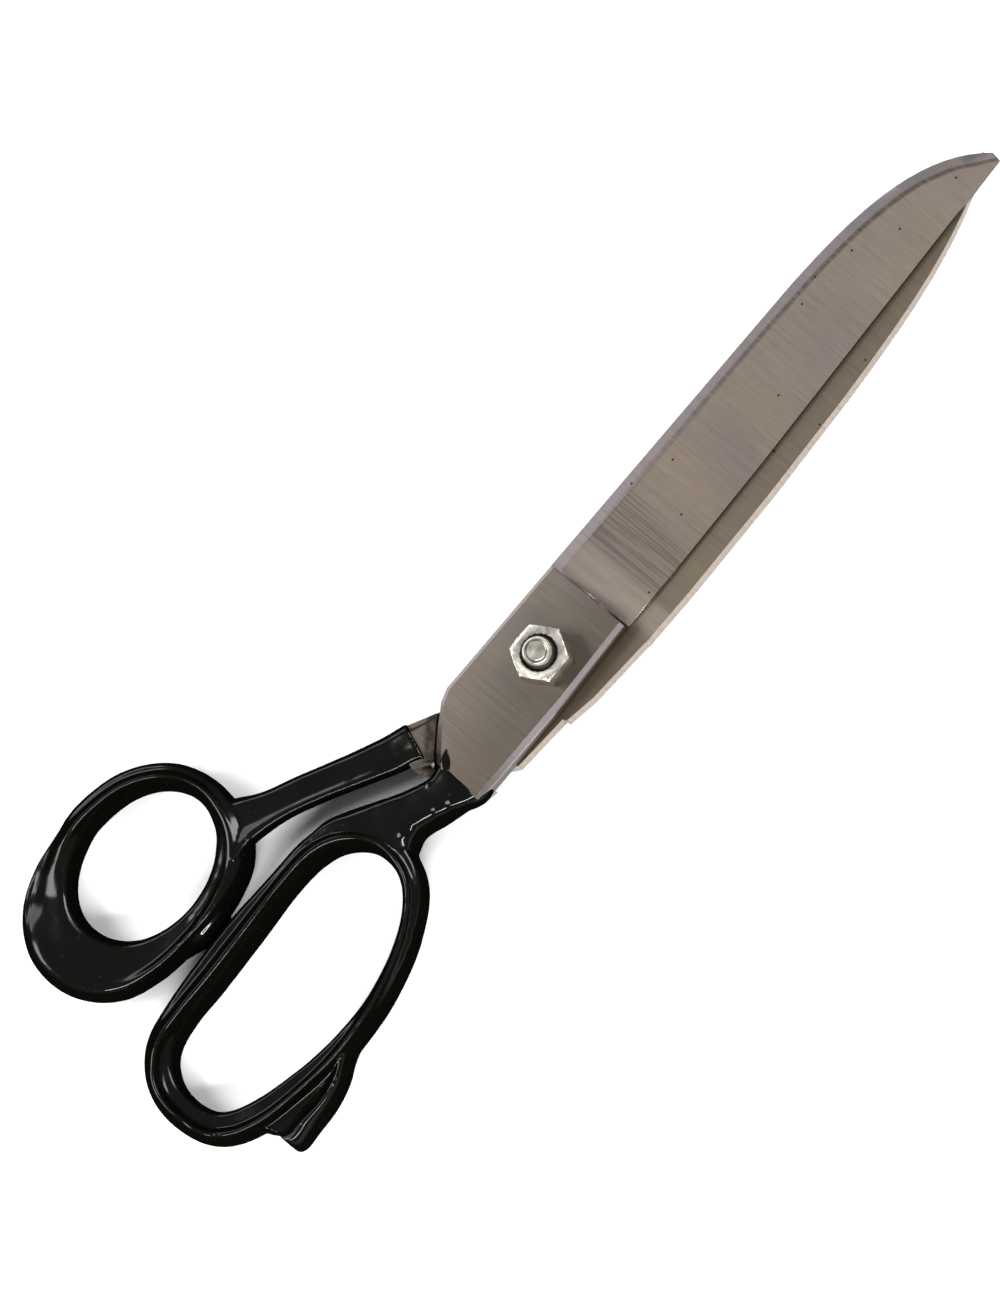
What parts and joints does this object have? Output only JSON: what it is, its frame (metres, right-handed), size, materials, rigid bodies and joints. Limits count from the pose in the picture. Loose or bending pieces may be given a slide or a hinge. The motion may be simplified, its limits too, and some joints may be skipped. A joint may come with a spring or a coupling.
{
  "type": "fabric shears",
  "caption": "Heavy bent-handle fabric shears: two forged blades on a pivot bolt with a hexagon nut, a round thumb ring and a long finger bow, both dipped in thick gloss coat.",
  "frame": {"origin": "on the pivot's axis, at the underside of the bolt head, which lies on the table", "axes": "+X along the blades to the tips, +Y to the thumb ring's side, +Z along the pivot towards the nut"},
  "size_m": [0.305, 0.1007, 0.0225],
  "materials": {
    "ground_steel": "cross-ground, satin",
    "handle_coat": "thick dipped gloss coat",
    "zinc_plate": "bright zinc plate"
  },
  "bodies": {
    "lower_half": {"lower_blade": "ground_steel", "thumb_ring_coat": "handle_coat", "pivot_bolt": "zinc_plate", "pivot_nut": "zinc_plate"},
    "upper_half": {"upper_blade": "ground_steel", "finger_bow_coat": "handle_coat"}
  },
  "joints": [
    {"name": "blade_pivot", "type": "hinge", "parent": "lower_half", "child": "upper_half", "pos_m": [0, 0, 0.0079], "axis": [0, 0, 1], "range_deg": [0, 50]}
  ]
}
